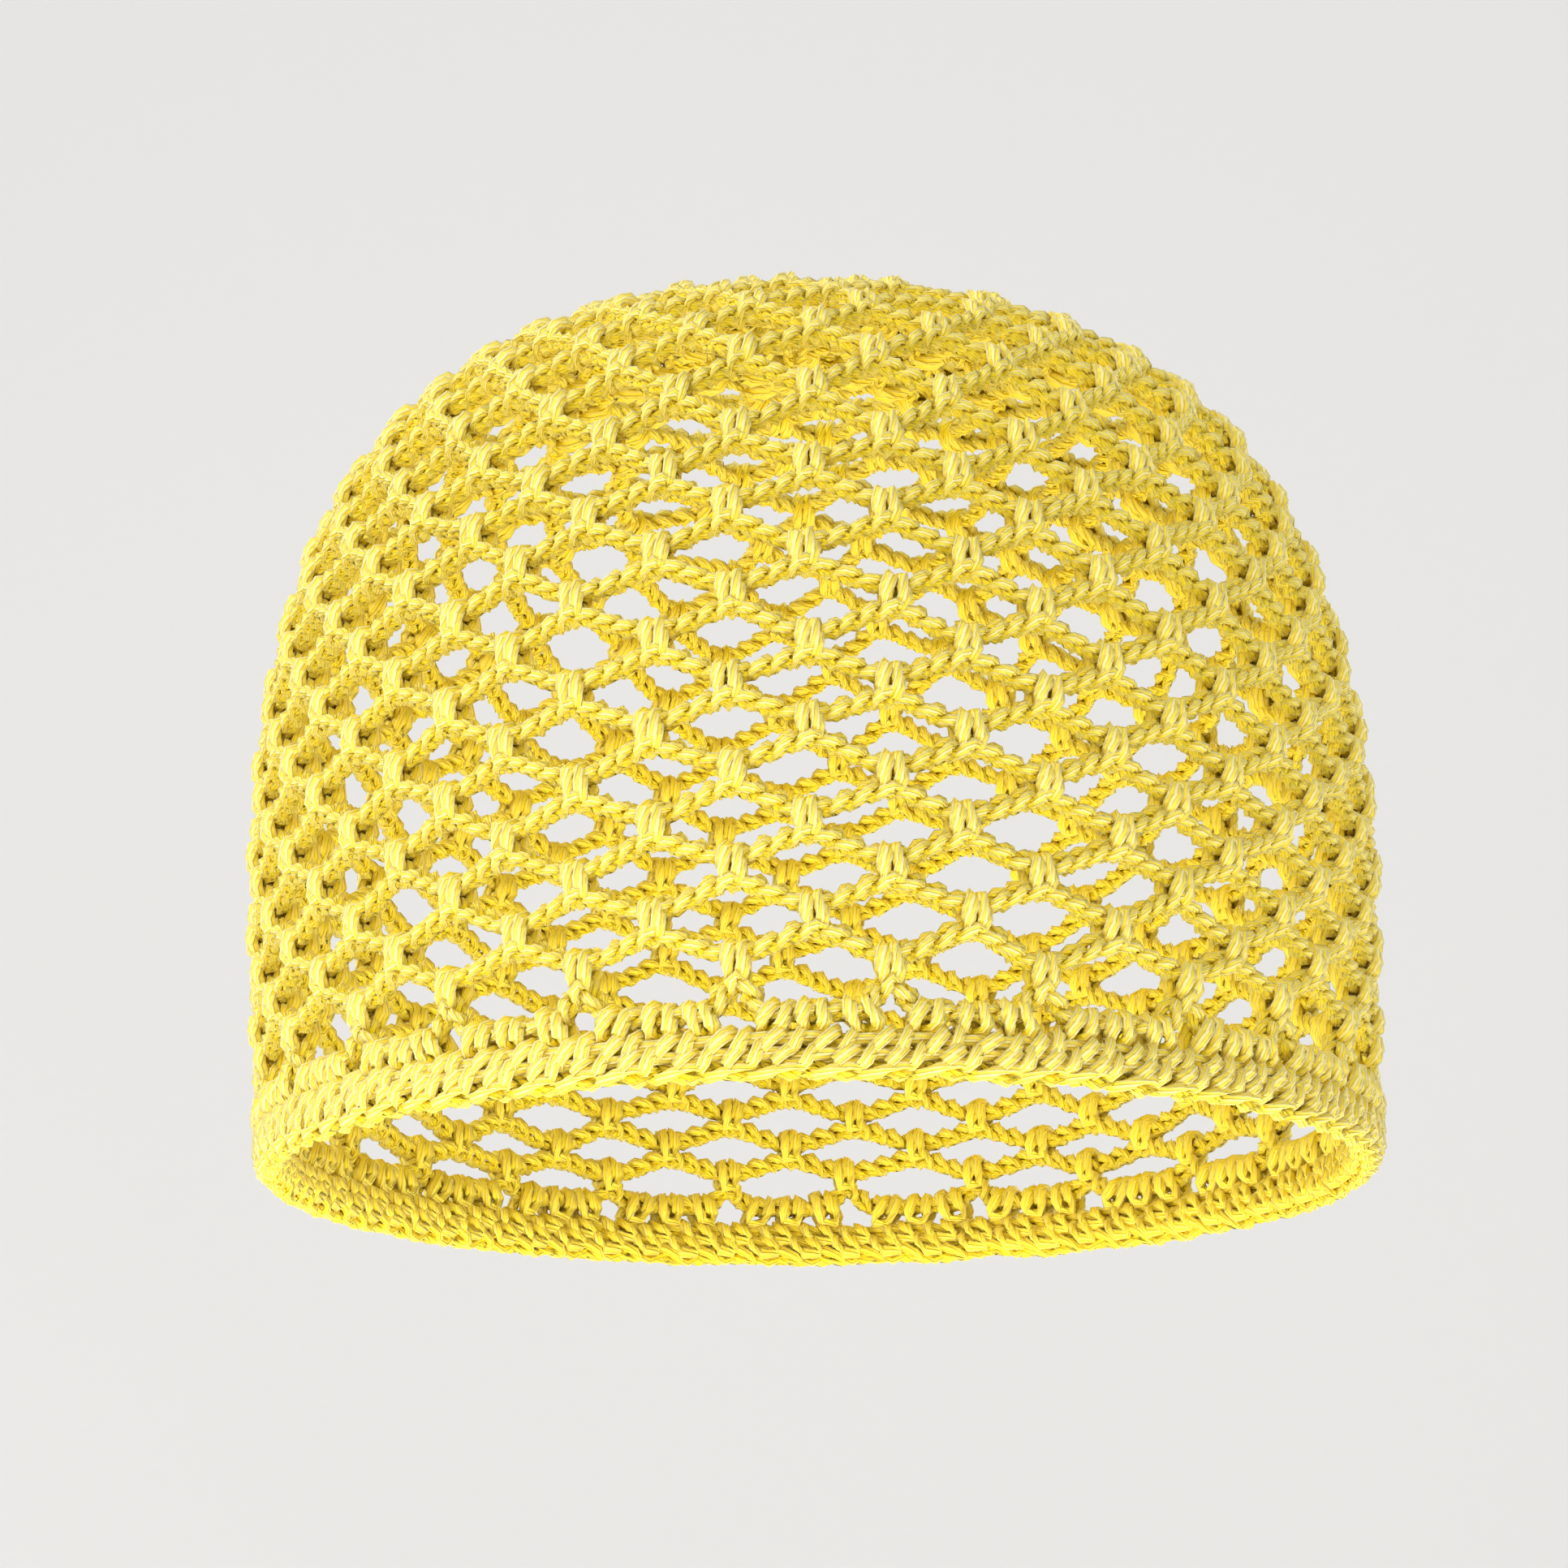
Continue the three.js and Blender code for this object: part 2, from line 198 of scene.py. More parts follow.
class Yarn:
    """The mesh of a piece under construction: closed tubes joined as arrays. A UV map runs round
    the yarn and along it in millimetres, and an attribute says how open each point lies, from 0
    at the heart of its stitch to 1 at its outside; it sets where the yarn's colour is painted
    shade and where painted highlight."""

    def __init__(self):
        self.points = []
        self.faces = []
        self.uvs = []
        self.open = []
        self.count = 0

    def add(self, centres, first, second, thickness, heart, axis, outward, reach):
        """Adds tubes along closed paths of shape (paths, steps, 3). Each ring is the centre plus
        the two directions turned through the section's angles, its radius swelling at each ply.
        How open a point lies is its distance from the stitch's axis through its heart, measured
        between the two distances of reach, less towards the head by a cosine about that axis. The
        colour is painted shade where a point lies shut in or faces the head, and a painted
        highlight where it lies open."""
        turn = np.arange(SIDES) / SIDES * 2 * math.pi
        lobe = 1 - PLY_DEPTH / 2 + PLY_DEPTH / 2 * np.cos(PLIES * turn)
        radius = YARN_RADIUS * thickness[..., None] * lobe
        rings = centres[..., None, :] + (radius * np.cos(turn))[..., None] * first[..., None, :]
        rings = rings + (radius * np.sin(turn))[..., None] * second[..., None, :]
        paths, steps = rings.shape[:2]
        index = np.arange(paths * steps * SIDES).reshape(paths, steps, SIDES) + self.count
        onward = np.roll(index, -1, axis=1)
        corners = [index, np.roll(index, -1, 2), np.roll(onward, -1, 2), onward]
        self.faces.append(np.stack(corners, -1).reshape(-1, 4))
        length = np.linalg.norm(np.roll(centres, -1, axis=1) - centres, axis=-1)
        run = np.cumsum(length, axis=1) - length
        u = np.broadcast_to(np.arange(SIDES) / SIDES, index.shape)
        v = np.broadcast_to(run[..., None], index.shape)
        v_next = v + length[..., None]
        u_next = u + 1 / SIDES
        uv = [np.stack(pair, -1) for pair in ((u, v), (u_next, v), (u_next, v_next), (u, v_next))]
        self.uvs.append(np.stack(uv, -2).reshape(-1, 2))
        away = rings - heart[..., None, :]
        away = away - (away * axis[..., None, :]).sum(-1, keepdims=True) * axis[..., None, :]
        distance = np.linalg.norm(away, axis=-1)
        openness = np.clip((distance - reach[0]) / (reach[1] - reach[0]), 0, 1)
        cosine = (away * outward[..., None, :]).sum(-1) / (distance + NEXT_TO_NOTHING)
        facing = 0.5 + 0.5 * cosine
        openness *= INNER_OPENNESS + (1 - INNER_OPENNESS) * facing
        self.open.append(openness.ravel())
        self.points.append(rings.reshape(-1, 3))
        self.count += rings.size // 3

    def make(self, name, node_name, material):
        """Puts the arrays into a mesh, smooth-shaded, that stands for a CAD node."""
        points = np.concatenate(self.points) * MM
        faces = np.concatenate(self.faces)
        mesh = bpy.data.meshes.new(name)
        mesh.vertices.add(len(points))
        mesh.vertices.foreach_set("co", points.astype(np.float32).ravel())
        mesh.loops.add(faces.size)
        mesh.loops.foreach_set("vertex_index", faces.astype(np.int32).ravel())
        mesh.polygons.add(len(faces))
        mesh.polygons.foreach_set("loop_start", np.arange(0, faces.size, 4, dtype=np.int32))
        mesh.polygons.foreach_set("use_smooth", np.ones(len(faces), dtype=bool))
        layer = mesh.uv_layers.new(name="along_yarn")
        layer.data.foreach_set("uv", np.concatenate(self.uvs).astype(np.float32).ravel())
        openness = mesh.attributes.new("openness", "FLOAT", "POINT")
        openness.data.foreach_set("value", np.concatenate(self.open).astype(np.float32))
        mesh.materials.append(material)
        mesh.update(calc_edges=True)
        mesh.validate()
        piece = bpy.data.objects.new(name, mesh)
        bpy.context.collection.objects.link(piece)
        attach(piece, "root")
        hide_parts(node_name)


# Cotton
# Mercerised cotton takes a clean lemon dye with a soft sheen. The ridges of the plies are
# painted pale as a highlight; between them, deep in the stitches and on the side towards the
# head the yellow is painted golden as shade.
def linear(hex_colour):
    """An sRGB hex colour as linear red, green and blue with alpha."""
    values = [int(hex_colour[i : i + 2], 16) / 255 for i in (1, 3, 5)]
    return [v / 12.92 if v <= 0.04045 else ((v + 0.055) / 1.055) ** 2.4 for v in values] + [1.0]


def node(tree, kind, inputs=None, **settings):
    """Adds a shader node, sets its properties and inputs: a socket given as a value is linked."""
    made = tree.nodes.new(kind)
    for key, value in settings.items():
        setattr(made, key, value)
    for key, value in (inputs or {}).items():
        if isinstance(value, bpy.types.NodeSocket):
            tree.links.new(value, made.inputs[key])
        else:
            made.inputs[key].default_value = value
    return made


LEMON_LIT_CREST = "#F4E698"
LEMON_SHADED_GROOVE = "#FFE108"
# Two strands show on each ply; the colour is the crest's painted highlight where their cosine
# passes CREST_FROM, and the groove's painted shade below it
STRANDS = 2 * PLIES
STRAND_SHARE = 0.8
CREST_FROM = 0.6
# The dye drifts a little, in patches of about 11 mm
PATCHES_A_METRE = 90.0
PATCH_NOISE = (0.3, 0.7)
PATCH_VALUE = (0.96, 1.03)
# A cotton fibre is far finer than FIBRE_WIDTH, which is drawn as coarse as it needs to show
FIBRE_WIDTH = 0.2
FIBRES_A_MM = 0.9
FIBRE_SLANT = 0.4
FIBRE_RELIEF = 0.6
RELIEF_HEIGHT = 0.4
RELIEF_SHARE = 0.8


def dye_and_shade_cotton(name, crest, groove):
    """Plied cotton: the colour runs from the painted shade of the grooves to the painted highlight
    of the crests by how open the place lies and with a cosine round the yarn, two strands to a
    ply, drifts a little over the piece, and fibres and strands raise a bump."""
    material = bpy.data.materials.new(name)
    material.use_nodes = True
    tree = material.node_tree
    tree.nodes.clear()
    uv = node(tree, "ShaderNodeUVMap", uv_map="along_yarn").outputs["UV"]
    parts = node(tree, "ShaderNodeSeparateXYZ", {0: uv})
    turn = node(
        tree,
        "ShaderNodeMath",
        {0: parts.outputs["X"], 1: STRANDS * 2 * math.pi},
        operation="MULTIPLY",
    )
    ridge = node(tree, "ShaderNodeMath", {0: turn.outputs[0]}, operation="COSINE")
    ply = node(
        tree,
        "ShaderNodeMapRange",
        {0: ridge.outputs[0], 1: -1.0, 2: CREST_FROM, 3: 1.0 - STRAND_SHARE, 4: 1.0},
        interpolation_type="SMOOTHSTEP",
    )
    openness = node(tree, "ShaderNodeAttribute", attribute_name="openness")
    share = node(
        tree,
        "ShaderNodeMath",
        {0: ply.outputs[0], 1: openness.outputs["Fac"]},
        operation="MULTIPLY",
    )
    # Painted shade and highlight: golden where the yarn is shut in, faces the head or lies between
    # plies; pale on the open crests of the plies
    mix = node(
        tree,
        "ShaderNodeMix",
        {0: share.outputs[0], 6: linear(groove), 7: linear(crest)},
        data_type="RGBA",
    )
    place = node(tree, "ShaderNodeTexCoord").outputs["Object"]
    drift = node(
        tree,
        "ShaderNodeTexNoise",
        {"Vector": place, "Scale": PATCHES_A_METRE, "Detail": 3.0},
    )
    value = node(
        tree,
        "ShaderNodeMapRange",
        {
            0: drift.outputs["Fac"],
            1: PATCH_NOISE[0],
            2: PATCH_NOISE[1],
            3: PATCH_VALUE[0],
            4: PATCH_VALUE[1],
        },
    )
    tint = node(
        tree,
        "ShaderNodeHueSaturation",
        {"Value": value.outputs[0], "Color": mix.outputs[2]},
    )
    # Fibres lie nearly along the ply and are as wide as FIBRE_WIDTH; the yarn is 5.3 mm round
    yarn_round = 2 * math.pi * YARN_RADIUS
    fibre_place = node(
        tree,
        "ShaderNodeMapping",
        {
            "Vector": uv,
            "Rotation": (0, 0, FIBRE_SLANT),
            "Scale": (yarn_round / FIBRE_WIDTH, FIBRES_A_MM, 1.0),
        },
    )
    fibres = node(
        tree,
        "ShaderNodeTexNoise",
        {"Vector": fibre_place.outputs[0], "Scale": 1.0, "Detail": 4.0},
    )
    relief = node(
        tree,
        "ShaderNodeMath",
        {0: fibres.outputs["Fac"], 1: FIBRE_RELIEF, 2: ply.outputs[0]},
        operation="MULTIPLY_ADD",
    )
    bump = node(
        tree,
        "ShaderNodeBump",
        {"Height": relief.outputs[0], "Distance": RELIEF_HEIGHT * MM, "Strength": RELIEF_SHARE},
    )
    shader = node(
        tree,
        "ShaderNodeBsdfPrincipled",
        {
            "Base Color": tint.outputs[0],
            "Roughness": 0.6,
            "Specular IOR Level": 0.35,
            "IOR": 1.5,
            "Sheen Weight": 0.12,
            "Sheen Roughness": 0.4,
            "Normal": bump.outputs[0],
        },
    )
    node(tree, "ShaderNodeOutputMaterial", {"Surface": shader.outputs[0]})
    return material


lemon_cotton = dye_and_shade_cotton("mercerised_cotton_lemon", LEMON_LIT_CREST, LEMON_SHADED_GROOVE)

# The chain stitch
# One link of a crochet chain: the yarn comes up through the link before, runs down one side, round
# the end and back up the other side, then along the back to the next link. The open V that the
# two sides make faces up and out, so that from the front one side shows as a slanted strand.
# ahead is a share of the link's pitch, turn is in degrees about the chain from the V's middle, and
# away is a share of the chain's half width.
LINK = [
    {"ahead": 0.00, "turn": 24, "away": 0.42, "full": 0.80},
    {"ahead": 0.22, "turn": 30, "away": 0.88, "full": 1.02},
    {"ahead": 0.52, "turn": 50, "away": 1.06, "full": 1.18},
    {"ahead": 0.84, "turn": 76, "away": 1.04, "full": 1.12},
    {"ahead": 1.12, "turn": 108, "away": 0.90, "full": 0.94},
    {"ahead": 1.24, "turn": 160, "away": 0.74, "full": 0.84},
    {"ahead": 1.24, "turn": -160, "away": 0.74, "full": 0.84},
    {"ahead": 1.12, "turn": -108, "away": 0.90, "full": 0.94},
    {"ahead": 0.84, "turn": -76, "away": 1.04, "full": 1.12},
    {"ahead": 0.52, "turn": -50, "away": 1.06, "full": 1.18},
    {"ahead": 0.22, "turn": -30, "away": 0.88, "full": 1.02},
    {"ahead": 0.00, "turn": -24, "away": 0.42, "full": 0.80},
    {"ahead": 0.50, "turn": 192, "away": 1.00, "full": 1.02},
]
# Behind the links the yarn runs on along the chain, and shows as the row under the V
BACK_STRAND = {"turn": -150, "away": 0.5, "full": 1.3, "lay": 9.0, "steps_a_link": 2}
LINK_PITCH = 3.15
CHAIN_HALF_WIDTH = 1.07
CHAIN_FACE = 68.0
LINK_TURNS = 1
# A place is shut in at the first distance from the chain's middle, a share of its half width,
# and open at the second, which lies past the half width by a share of the yarn's radius
# How shut in a place lies sets the painted shade in the yarn's colour
LINK_OPEN = {"from": 0.85, "past": 0.75}
BACK_OPEN = {"from": 0.9, "past": 1.7}
# Links differ a little in size and in the way they face, in waves of a few links
SIZE_VARIES = 0.05
FACE_VARIES = 9.0
LINKS_IN_SIZE_WAVE = 3
LINKS_IN_FACE_WAVE = 4
FEWEST_WAVES = 3
ONWARD_STEP = 0.3
chance = np.random.default_rng(26)


def smooth_noise(count, waves, size):
    """A closed run of random heights: a few whole waves with random sizes and starts, summed."""
    turn = np.arange(count) / count * 2 * math.pi
    number = np.arange(1, waves + 1)[:, None]
    height = chance.normal(size=(waves, 1))
    start = chance.uniform(0, 2 * math.pi, (waves, 1))
    return size * (height * np.sin(number * turn + start)).sum(0) / math.sqrt(waves / 2)


def space_links(nodes, rounds, run, pitch):
    """Where each link of a closed chain begins and how long it is: every stretch between two
    nodes has a whole number of links, and one link is centred on each node."""
    node_run = np.interp(nodes, rounds, run)
    stretch = np.diff(np.append(node_run, node_run[0] + run[-1]))
    counts = np.maximum(1, np.round(stretch / pitch)).astype(int)
    number = np.arange(counts.sum()) - np.repeat(np.cumsum(counts) - counts, counts)
    pitches = np.repeat(stretch / counts, counts)
    return np.repeat(node_run, counts) + (number + 0.5) * pitches, pitches


def frame_along(run_at, run, rounds, along):
    """Places on a closed row, given by how far along it they lie, with the directions onward,
    upward and outward there."""
    base, _, _, out = on_cap(np.interp(run_at, run, rounds), np.interp(run_at, run, along))
    later = (run_at + ONWARD_STEP) % run[-1]
    onward = on_cap(np.interp(later, run, rounds), np.interp(later, run, along))[0] - base
    onward = unit(onward)
    upward = unit(np.cross(out, onward))
    return base, onward, upward, np.cross(onward, upward)


def add_chain(
    yarn, rounds, along, nodes, pitch=LINK_PITCH, width=CHAIN_HALF_WIDTH, swell=None, fat=1.0
):
    """A closed chain, worked towards the left, whose middle line is a closed row of places. Each
    link's points are set back from where it begins along the line, and away from the line at
    their turn about it, to which the chain's own slow twist is added."""
    middle = on_cap(rounds, along)[0]
    step = np.linalg.norm(np.roll(middle, -1, axis=0) - middle, axis=1)
    run = np.concatenate([[0], np.cumsum(step)])
    rounds = np.append(rounds, rounds[0] + 1)
    along = np.append(along, along[0])
    nodes = np.sort(rounds[0] + (nodes - rounds[0]) % 1)
    begin, pitches = space_links(nodes, rounds, run, pitch)
    begin, pitches = begin[::-1, None], pitches[::-1, None]
    links = len(begin)
    shape = {key: np.array([point[key] for point in LINK]) for key in LINK[0]}
    place = ((begin - shape["ahead"] * pitches) % run[-1]).ravel()
    waves = max(FEWEST_WAVES, links // LINKS_IN_SIZE_WAVE)
    full_size = 1 + smooth_noise(links, waves, SIZE_VARIES)
    if swell is not None:
        link_middle = (begin[:, 0] - pitches[:, 0] / 2) % run[-1]
        full_size = full_size * np.interp(link_middle, run, np.append(swell, swell[0]))
    full_size = np.repeat(full_size, len(LINK))
    waves = max(FEWEST_WAVES, links // LINKS_IN_FACE_WAVE)
    face = CHAIN_FACE + smooth_noise(links, waves, FACE_VARIES)
    turn = np.radians((shape["turn"] + face[:, None]).ravel())
    base, onward, upward, outward = frame_along(place, run, rounds, along)
    away = np.tile(shape["away"], links) * full_size * width
    centres = base + (away * np.sin(turn))[:, None] * upward
    centres = centres + (away * np.cos(turn))[:, None] * outward
    # Directions across the yarn, found once on three links in a row and turned with each link
    flat_turn = np.radians(shape["turn"] + CHAIN_FACE)
    flat_away = shape["away"] * width
    mean = pitches.mean()
    flat = np.stack(
        [-shape["ahead"] * mean, flat_away * np.sin(flat_turn), flat_away * np.cos(flat_turn)], -1
    )
    row = np.concatenate([flat - [mean * number, 0, 0] for number in (-1, 0, 1)])
    across = []
    for local in carry_across(row, LINK_TURNS, copies=3):
        local = np.tile(local, (links, 1))
        across.append(local[:, :1] * onward + local[:, 1:2] * upward + local[:, 2:] * outward)
    thickness = fat * np.tile(shape["full"], links) * np.sqrt(full_size)
    reach = (LINK_OPEN["from"] * width, width + LINK_OPEN["past"] * YARN_RADIUS)
    lines = (centres, across[0], across[1], thickness, base, onward, outward)
    yarn.add(*[line[None] for line in lines], reach)
    steps = BACK_STRAND["steps_a_link"] * links
    run_at = np.arange(steps) / steps * run[-1]
    base, onward, upward, outward = frame_along(run_at, run, rounds, along)
    turn = math.radians(BACK_STRAND["turn"] + CHAIN_FACE)
    away = BACK_STRAND["away"] * width
    centres = base + away * (math.sin(turn) * upward + math.cos(turn) * outward)
    first, second = carry_across(centres, round(run[-1] / BACK_STRAND["lay"]))
    thickness = np.full(steps, BACK_STRAND["full"] * fat)
    reach = (BACK_OPEN["from"] * width, width + BACK_OPEN["past"] * YARN_RADIUS)
    lines = (centres, first, second, thickness, base, onward, outward)
    yarn.add(*[line[None] for line in lines], reach)


# The joining stitch
# One single crochet, which hangs a round from the round above: two legs run from behind the V up
# the front, over the upper chain and down the back, where they meet.
# right and out are shares of the stitch's half width and depth. up is a share of its height, from
# the lower chain to the upper one, and over a share of what it clears the upper chain by.
JOIN_HALF = [
    {"right": 0.25, "up": -0.12, "over": 0.0, "out": -0.05, "full": 0.80},
    {"right": 0.92, "up": 0.02, "over": 0.0, "out": 0.50, "full": 1.05},
    {"right": 1.00, "up": 0.36, "over": 0.0, "out": 0.92, "full": 1.22},
    {"right": 0.88, "up": 0.74, "over": 0.0, "out": 1.04, "full": 1.26},
    {"right": 0.76, "up": 1.00, "over": 0.5, "out": 0.92, "full": 1.22},
    {"right": 0.70, "up": 1.00, "over": 1.0, "out": 0.36, "full": 1.15},
    {"right": 0.74, "up": 1.00, "over": 1.0, "out": -0.40, "full": 1.15},
    {"right": 0.86, "up": 1.00, "over": 0.4, "out": -0.96, "full": 1.20},
    {"right": 0.96, "up": 0.55, "over": 0.0, "out": -1.02, "full": 1.20},
    {"right": 0.76, "up": 0.05, "over": 0.0, "out": -0.80, "full": 1.10},
]
JOIN_WIDTH = 1.0
JOIN_FAT = 1.24
JOIN_DEPTH = 1.65
JOIN_CLEARANCE = 1.0
JOIN_TURNS = 2
# How shut in a place lies in the stitch sets the painted shade in the yarn's colour
JOIN_OPEN = {"from": 0.75, "past": 0.75}
JOIN_WIDTH_VARIES = 0.08
JOIN_FULL_VARIES = 0.05


def add_joins(
    yarn, rounds, along, height, width=JOIN_WIDTH, depth=JOIN_DEPTH, slant=0, lean=4, fat=1.0
):
    """Closed loops at places on the cap, each the stitch's half outline and its mirror image in
    the place's own right, up and out directions, leaned by a small random angle in degrees. The
    slant moves each point to the right by that share of its height."""
    shape = {key: np.array([point[key] for point in JOIN_HALF]) for key in JOIN_HALF[0]}
    height = np.broadcast_to(height, (len(rounds),))
    mean = float(height.mean())
    level = shape["up"] * mean + shape["over"] * JOIN_CLEARANCE
    half = np.stack([shape["right"] * width, level, shape["out"] * depth], -1)
    loop = np.concatenate([half, half[::-1] * [-1, 1, 1]])
    first, second = carry_across(loop, JOIN_TURNS)
    base, right, up, out = on_cap(rounds, along)
    turn = np.radians(chance.normal(0, lean, len(rounds)))[:, None]
    right, up = right * np.cos(turn) + up * np.sin(turn), up * np.cos(turn) - right * np.sin(turn)
    stretch = shape["up"] * (height - mean)[:, None]
    stretch = np.concatenate([stretch, stretch[:, ::-1]], axis=1)
    wide = 1 + chance.normal(0, JOIN_WIDTH_VARIES, (len(rounds), 1))
    level = loop[:, 1] + stretch
    aside = loop[:, 0] * wide + level * np.broadcast_to(slant, (len(rounds),))[:, None]
    centres = base[:, None] + aside[..., None] * right[:, None] + level[..., None] * up[:, None]
    centres = centres + loop[:, 2][None, :, None] * out[:, None]
    across = []
    for local in (first, second):
        turned = local[:, :1] * right[:, None] + local[:, 1:2] * up[:, None]
        across.append(turned + local[:, 2:] * out[:, None])
    full = np.concatenate([shape["full"], shape["full"][::-1]])
    thickness = fat * full * (1 + chance.normal(0, JOIN_FULL_VARIES, (len(rounds), 1)))
    heart = np.broadcast_to(base[:, None], centres.shape)
    axis = np.broadcast_to(up[:, None], centres.shape)
    outward = np.broadcast_to(out[:, None], centres.shape)
    reach = (JOIN_OPEN["from"] * depth, depth + JOIN_OPEN["past"] * YARN_RADIUS)
    yarn.add(centres, across[0], across[1], thickness, heart, axis, outward, reach)


# The rounds of the net
# 26 loops go round the full part of the cap, each hung in the middle of a loop of the round above.
# From the shoulder up the loops are drawn taller, and towards the top the rounds have fewer.
LOWEST_STITCHES = 15.65
ROUND_SPACING = 6.51
SHOULDER_ROUND = 12
CROWN_SPREAD = 1.2
JOIN_HEIGHT = 3.3
FULL_LOOPS = 26
FULL_ROUNDS = 16
CROWN_LOOPS = [24, 20, 20, 16, 16, 12, 12, 8, 8]
EVENING = 0.6
LINE_STEPS = 24
PEAK_SHARPNESS = 0.85
SLACK_IN_LOOP = 0.5
PINCH = 0.8
NODE_SWELL = 1.25
LAST_LOOP_DROP = 4.75
LAST_LOOP_DROP_BACK = 3.9
LAST_LOOP_TURN = 0.4
STITCH_UP_VARIES = 0.25
STITCH_ASIDE_VARIES = 0.5
# A chain swells and is pinched within a quarter of the way from one stitch to the next
SWELL_PARTS = 4


def place_stitches():
    """Places of every round's stitches. A round's stitches lie midway between those of the round
    below it; where it has fewer, evenly spaced ones of those places are passed over and the rest
    move part of the way to even spacing."""
    rounds = [(np.arange(FULL_LOOPS) + 0.5) / FULL_LOOPS]
    for loops in [FULL_LOOPS] * (FULL_ROUNDS - 1) + CROWN_LOOPS:
        below = rounds[-1]
        middles = (below + np.append(below[1:], below[0] + 1)) / 2
        missed = len(middles) - loops
        number = np.arange(len(middles) + 1)
        kept = middles[np.diff(number * missed // len(middles)) == 0]
        even = np.arange(loops) / loops
        even = even + (kept - even).mean()
        rounds.append(kept + (even - kept) * (EVENING if missed else 1.0))
    return rounds


def trace_round(own, own_along, below, below_along, reach=1.0):
    """The middle line of a round: it turns down from each of its own stitches to each stitch of
    the round below and up again, on half a cosine whose fraction is raised to a power that makes
    the upper turns the sharper ones, all within a share, the reach, of the way between them. With
    it, how full the chain is: fuller at its own stitches, pinched where the round below hangs."""
    places = np.concatenate([own % 1, below % 1])
    levels = np.concatenate([own_along, below_along])
    high = np.concatenate([np.ones(len(own)), np.zeros(len(below))])
    order = np.argsort(places)
    places, levels, high = places[order, None], levels[order, None], high[order, None]
    after = np.roll(places, -1) + (np.arange(len(places)) == len(places) - 1)[:, None]
    levels_next, high_next = np.roll(levels, -1), np.roll(high, -1)
    part = np.arange(LINE_STEPS) / LINE_STEPS
    falling = np.minimum(part / reach, 1) ** PEAK_SHARPNESS
    rising = 1 - np.minimum((1 - part) / reach, 1) ** PEAK_SHARPNESS
    way = np.where(high > high_next, falling, np.where(high < high_next, rising, part))
    swing = 0.5 - 0.5 * np.cos(math.pi * way)
    both_low = (high + high_next) == 0
    along = levels * (1 - swing) + levels_next * swing
    along = along + both_low * SLACK_IN_LOOP * JOIN_HEIGHT / 2 * np.sin(math.pi * part)
    rounds = places + (after - places) * part
    tall = high * (1 - part) + high_next * part
    from_low = np.where(both_low, np.minimum(part, 1 - part), tall)
    pinched = np.clip(1 - SWELL_PARTS * from_low, 0, 1)
    fuller = np.clip(SWELL_PARTS * tall - (SWELL_PARTS - 1), 0, 1)
    swell = 1 - (1 - PINCH) * pinched + (NODE_SWELL - 1) * fuller
    return rounds.ravel(), along.ravel(), swell.ravel()


stitches = place_stitches()
stitch_along = []
for level, row in enumerate(stitches):
    spread = max(0, level - SHOULDER_ROUND) * CROWN_SPREAD
    height = LOWEST_STITCHES + level * ROUND_SPACING + spread
    stitch_along.append(height + chance.normal(0, STITCH_UP_VARIES, len(row)))
    stitches[level] = row + chance.normal(0, STITCH_ASIDE_VARIES, len(row)) / GIRTH


def round_line(level):
    """The middle line of one round of the net. The lowest one hangs in flat hollows, drawn
    square by the stitches of the band."""
    own, own_along = stitches[level], stitch_along[level] - JOIN_HEIGHT / 2
    if level > 0:
        hung = stitch_along[level - 1] + JOIN_HEIGHT / 2
        return trace_round(own, own_along, stitches[level - 1], hung)
    middles = (own + np.append(own[1:], own[0] + 1)) / 2
    back = (1 - np.cos(2 * math.pi * middles)) / 2
    drop = LAST_LOOP_DROP + (LAST_LOOP_DROP_BACK - LAST_LOOP_DROP) * back
    hollows = own_along.mean() - drop
    return trace_round(own, own_along, middles, hollows, LAST_LOOP_TURN)


def add_round(yarn, level):
    """One round of the net: its chain, and the stitches that hang it from the round above."""
    rounds, along, swell = round_line(level)
    if level == 0:
        swell = np.maximum(swell, 1)
    add_chain(yarn, rounds, along, stitches[level], swell=swell)
    bottom = stitch_along[level] - JOIN_HEIGHT / 2
    add_joins(yarn, stitches[level], bottom, JOIN_HEIGHT, fat=JOIN_FAT)


NET_PIECES = [
    {"name": "net_lower_rounds", "first": 0, "rounds": 4},
    {"name": "net_middle_rounds", "first": 4, "rounds": 4},
    {"name": "net_upper_rounds", "first": 8, "rounds": 4},
    {"name": "net_shoulder_rounds", "first": 12, "rounds": 4},
    {"name": "net_crown_rounds", "first": 16, "rounds": 9},
]
for piece in NET_PIECES:
    net_yarn = Yarn()
    for level in range(piece["first"], piece["first"] + piece["rounds"]):
        add_round(net_yarn, level)
    net_yarn.make(piece["name"], "crown_net", lemon_cotton)

# The starting ring
# A ring of yarn drawn up tight, with the first stitches worked into it and their chain round it.
# The cap is begun here, at the middle of the crown, and the net grows out from that chain.
RING_OUTER = TOP_ALONG - 8.0
RING_INNER = TOP_ALONG - 4.4
RING_STITCHES = 12
RING_STEPS = 96
RING_PITCH = 4.2
RING_JOIN_WIDTH = 0.8
RING_LEAN = 2.0

ring_yarn = Yarn()
ring_line = np.arange(RING_STEPS) / RING_STEPS
ring_places = np.arange(RING_STITCHES) / RING_STITCHES
ring_along = np.full(RING_STEPS, RING_OUTER)
add_chain(ring_yarn, ring_line, ring_along, ring_places, pitch=RING_PITCH)
add_joins(
    ring_yarn,
    ring_places,
    np.full(RING_STITCHES, RING_OUTER),
    RING_INNER - RING_OUTER,
    width=RING_JOIN_WIDTH,
    lean=RING_LEAN,
)
ring_yarn.make("starting_ring", "crown_ring", lemon_cotton)

